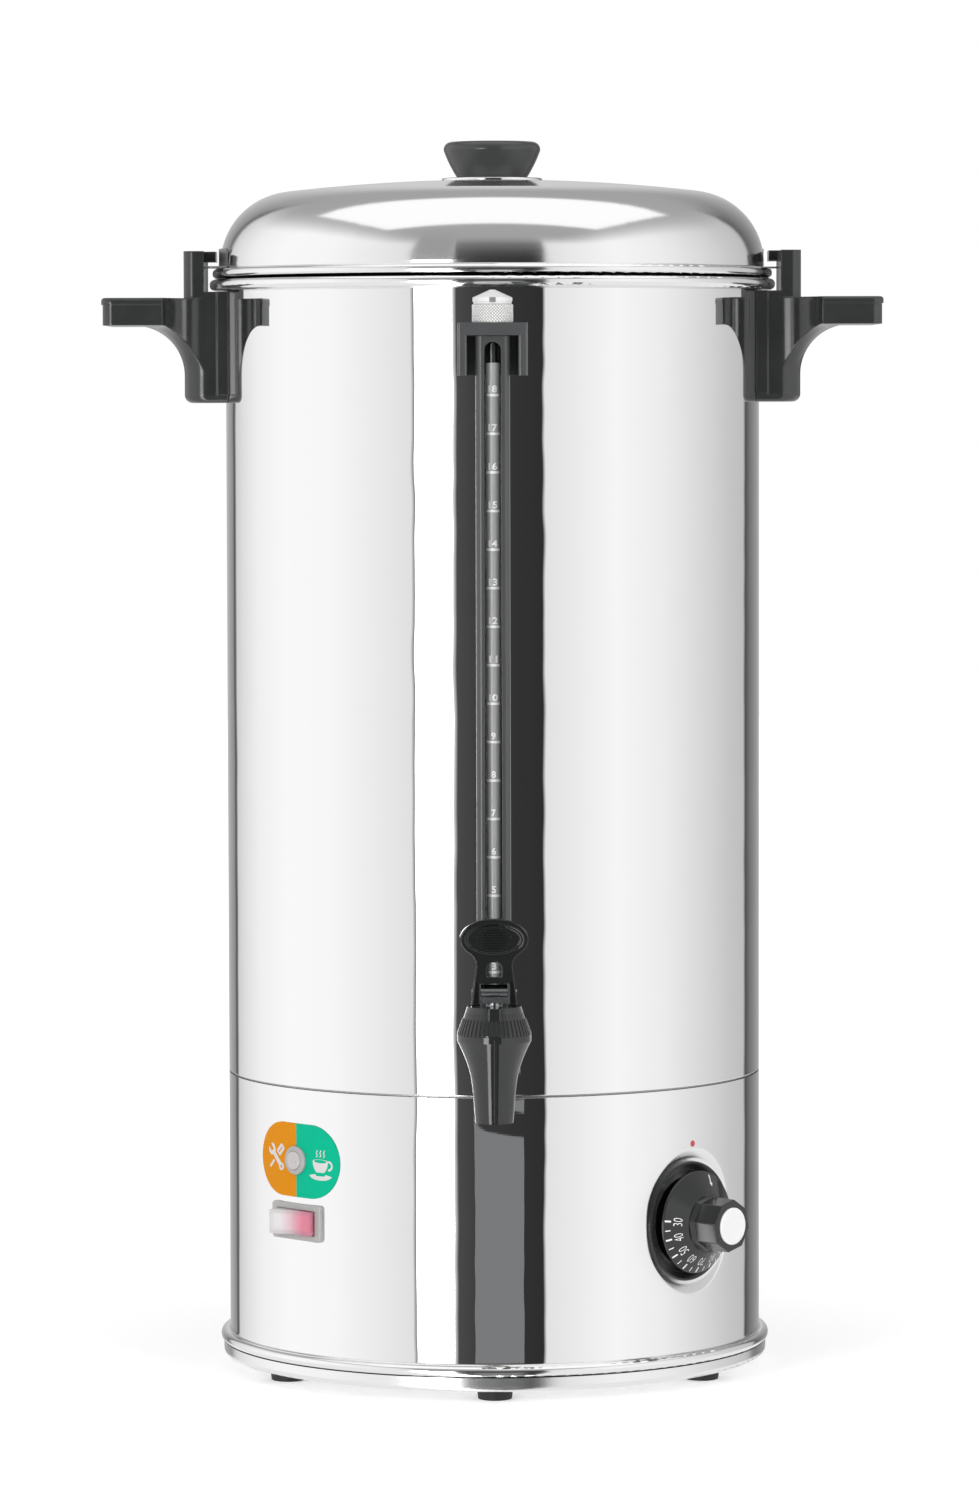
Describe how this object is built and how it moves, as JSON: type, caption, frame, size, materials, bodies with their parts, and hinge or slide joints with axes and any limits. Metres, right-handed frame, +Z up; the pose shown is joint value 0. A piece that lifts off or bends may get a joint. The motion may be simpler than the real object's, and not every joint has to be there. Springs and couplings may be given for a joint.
{
  "type": "hot water urn",
  "caption": "Tall double-beaded steel urn with domed lock-down lid, side grips, front sight gauge, pull tap, dial thermostat, rocker switch and status lamp.",
  "frame": {"origin": "on the tank axis at the surface the feet stand on", "axes": "+Z up along the tank axis, -Y to the front where the tap is, +X to the viewer's right"},
  "size_m": [0.384, 0.344, 0.6093],
  "materials": {
    "polished_stainless": "mirror-polished stainless steel",
    "stainless_sheet": "mill-finish stainless sheet",
    "stainless_fastener": "turned stainless steel",
    "zinc_steel": "bright zinc-plated steel",
    "cast_aluminium": "as-cast aluminium",
    "printed_aluminium": "screen-printed aluminium plate",
    "copper_tube": "drawn copper",
    "element_sheath": "heat-darkened steel sheath",
    "black_phenolic": "moulded black phenolic",
    "black_abs": "moulded black ABS",
    "grey_plastic": "moulded pale grey plastic",
    "frosted_lens": "frosted polycarbonate lens",
    "red_rocker": "translucent red polycarbonate",
    "white_plastic": "moulded white plastic",
    "ceramic": "glazed ceramic and moulded insulator",
    "black_rubber": "moulded rubber",
    "silicone": "moulded silicone rubber",
    "clear_glass": "clear borosilicate tube"
  },
  "bodies": {
    "urn": {"tank_shell": "polished_stainless", "tank_bottom": "stainless_sheet", "base_skirt": "polished_stainless", "base_plate": "polished_stainless", "rubber_feet": "black_rubber", "foot_screws": "zinc_steel", "foot_nuts": "zinc_steel", "base_studs": "zinc_steel", "base_nuts": "zinc_steel", "left_handle": "black_phenolic", "right_handle": "black_phenolic", "handle_screws": "stainless_fastener", "handle_washers": "stainless_fastener", "sight_glass": "clear_glass", "gauge_guard": "black_abs", "gauge_guard_cap": "black_abs", "gauge_nut": "white_plastic", "gauge_vent_cap": "white_plastic", "glass_seal_lower": "silicone", "glass_seal_upper": "silicone", "guard_cap_screw": "stainless_fastener", "tap_body": "black_abs", "tap_bonnet": "black_abs", "stem_spring": "stainless_fastener", "shank_seal": "silicone", "shank_nut": "stainless_fastener", "indicator_plate": "printed_aluminium", "indicator_bezel": "grey_plastic", "indicator_lens": "frosted_lens", "indicator_body": "grey_plastic", "switch_frame": "grey_plastic", "switch_body": "black_abs", "thermostat_bezel": "black_phenolic", "thermostat_body": "ceramic", "thermostat_screws": "zinc_steel", "capillary_bulb": "copper_tube", "bulb_clip": "stainless_sheet", "heating_element": "element_sheath", "heat_plate": "cast_aluminium", "boil_dry_cutout": "ceramic", "cutout_screws": "zinc_steel", "terminal_block": "ceramic", "terminal_screws": "zinc_steel", "cord_gland": "black_abs", "gland_nut": "black_abs"},
    "lid": {"lid_shell": "polished_stainless", "lid_lock_tabs": "polished_stainless", "lid_knob": "black_phenolic", "knob_plate": "polished_stainless", "knob_washer": "stainless_fastener", "knob_screw": "stainless_fastener"},
    "valve_stem": {"valve_stem": "stainless_fastener", "seat_cup": "silicone"},
    "tap_lever": {"tap_lever": "black_abs", "lever_pin": "stainless_fastener"},
    "thermostat_dial": {"thermostat_dial": "black_phenolic", "dial_cap": "white_plastic", "thermostat_shaft": "zinc_steel"},
    "switch_rocker": {"switch_rocker": "red_rocker"}
  },
  "joints": [
    {"name": "lid_lift", "type": "slide", "parent": "urn", "child": "lid", "axis": [0, 0, 1], "range_m": [0, 0.12]},
    {"name": "stem_lift", "type": "slide", "parent": "urn", "child": "valve_stem", "axis": [0, 0, 1], "range_m": [0, 0.0028], "stiffness_N_per_m": 600, "springref_m": -0.004, "deforming": ["stem_spring"]},
    {"name": "lever_pull", "type": "hinge", "parent": "valve_stem", "child": "tap_lever", "pos_m": [0, -0.18, 0.203], "axis": [1, 0, 0], "range_deg": [0, 35]},
    {"name": "dial_turn", "type": "hinge", "parent": "urn", "child": "thermostat_dial", "pos_m": [0.09392, -0.08851, 0.0822], "axis": [0.7278, -0.6858, 0], "range_deg": [-268, 18]},
    {"name": "rocker_tilt", "type": "hinge", "parent": "urn", "child": "switch_rocker", "pos_m": [-0.09568, -0.09079, 0.0827], "axis": [0, 0, -1], "range_deg": [0, 24]}
  ],
  "couplings": [
    {"joint": "lever_pull", "follows": "stem_lift", "rad_per_m": 218.16}
  ]
}
